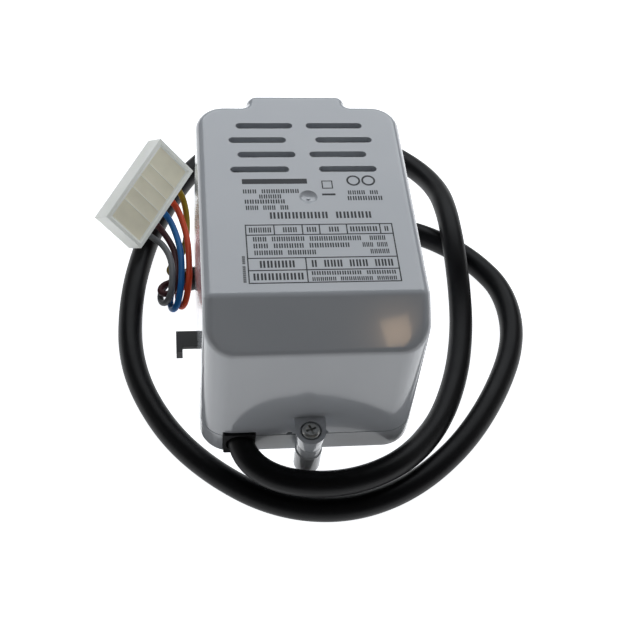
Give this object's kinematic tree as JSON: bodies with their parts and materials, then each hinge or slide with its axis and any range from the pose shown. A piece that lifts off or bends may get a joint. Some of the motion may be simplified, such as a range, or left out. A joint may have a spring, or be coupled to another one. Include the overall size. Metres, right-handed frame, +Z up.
{
  "type": "diverter valve actuator",
  "caption": "Motorised head for a heating diverter valve: moulded box cover on a base, hand lever, and a flexible cord ending in a five-way connector.",
  "frame": {"origin": "on the drive spindle's axis, in the end face of the register that rests on the valve body", "axes": "+Z up along the spindle, +Y to the back with the tab, +X to the right, seen from the side with the cover screw"},
  "size_m": [0.1392, 0.1652, 0.066],
  "materials": {
    "white_abs": "glossy moulded white ABS",
    "black_pvc": "satin black PVC cord jacket and grommet",
    "black_nylon": "black moulded nylon",
    "steel": "zinc-plated steel",
    "brass": "machined brass",
    "acetal": "white acetal gears",
    "copper": "enamelled copper winding",
    "magnet": "dark ferrite magnet",
    "nylon_natural": "translucent natural nylon",
    "wire_grey": "grey PVC core",
    "wire_brown": "brown PVC core",
    "wire_blue": "blue PVC core",
    "wire_orange": "orange PVC core",
    "wire_green_yellow": "green and yellow PVC core"
  },
  "bodies": {
    "base": {"base": "white_abs", "spindle_bush": "brass", "return_spring": "steel", "idler_axle": "steel", "gear_plate": "steel", "plate_screws": "steel", "gearbox_housing": "black_nylon", "motor_screws": "steel", "motor_can": "steel", "stator_bobbin": "black_nylon", "stator_winding": "copper", "switch_body": "black_nylon", "switch_screws": "steel", "switch_terminals": "brass", "switch_arm_pin": "steel", "cable_grommet": "black_pvc", "cord_clamp": "black_nylon", "clamp_screws": "steel", "inner_leads": "wire_blue", "connector_housing": "nylon_natural", "connector_contacts": "brass", "cable": "black_pvc", "wire_grey": "wire_grey", "wire_brown": "wire_brown", "wire_blue": "wire_blue", "wire_orange": "wire_orange", "wire_green_yellow": "wire_green_yellow"},
    "cover": {"cover": "white_abs", "cover_screw": "steel"},
    "spindle": {"drive_spindle": "brass", "sector_gear": "steel", "lever_gear": "acetal", "switch_cam": "acetal", "spindle_circlip": "steel"},
    "output": {"output_shaft": "steel", "output_wheel": "acetal"},
    "idler": {"idler_gear": "acetal"},
    "rotor": {"rotor_shaft": "steel", "rotor_magnet": "magnet"},
    "lever": {"manual_lever": "black_nylon"},
    "switch_arm": {"switch_arm": "steel"},
    "plunger": {"switch_plunger": "acetal"}
  },
  "joints": [
    {"name": "spindle_turn", "type": "hinge", "parent": "base", "child": "spindle", "pos_m": [0, 0, 0.02], "axis": [0, 0, 1], "range_deg": [0, 60], "deforming": ["return_spring"]},
    {"name": "output_turn", "type": "hinge", "parent": "base", "child": "output", "pos_m": [0, 0.025, 0.03], "axis": [0, 0, 1], "range_deg": [-240, 0]},
    {"name": "idler_turn", "type": "hinge", "parent": "base", "child": "idler", "pos_m": [-0.00975, 0.018, 0.036], "axis": [0, 0, 1], "range_deg": [0, 720]},
    {"name": "rotor_turn", "type": "hinge", "parent": "base", "child": "rotor", "pos_m": [0, 0.011, 0.05], "axis": [0, 0, 1], "range_deg": [-2160, 0]},
    {"name": "lever_slide", "type": "slide", "parent": "base", "child": "lever", "axis": [0, 1, 0], "range_m": [-0.00943, 0]},
    {"name": "switch_arm_swing", "type": "hinge", "parent": "base", "child": "switch_arm", "pos_m": [0.013, -0.0086, 0.015], "axis": [0, 0, 1], "range_deg": [-8.6, 0]},
    {"name": "plunger_push", "type": "slide", "parent": "base", "child": "plunger", "axis": [1, 0, 0], "range_m": [0, 0.0009]},
    {"name": "cover_lift", "type": "slide", "parent": "base", "child": "cover", "axis": [0, 0, 1], "range_m": [0, 0.055]}
  ],
  "couplings": [
    {"joint": "output_turn", "follows": "spindle_turn", "ratio": -4},
    {"joint": "idler_turn", "follows": "spindle_turn", "ratio": 12},
    {"joint": "rotor_turn", "follows": "spindle_turn", "ratio": -36},
    {"joint": "lever_slide", "follows": "spindle_turn", "m_per_rad": -0.009},
    {"joint": "switch_arm_swing", "follows": "spindle_turn", "ratio": -0.143},
    {"joint": "plunger_push", "follows": "spindle_turn", "m_per_rad": 0.00078}
  ]
}
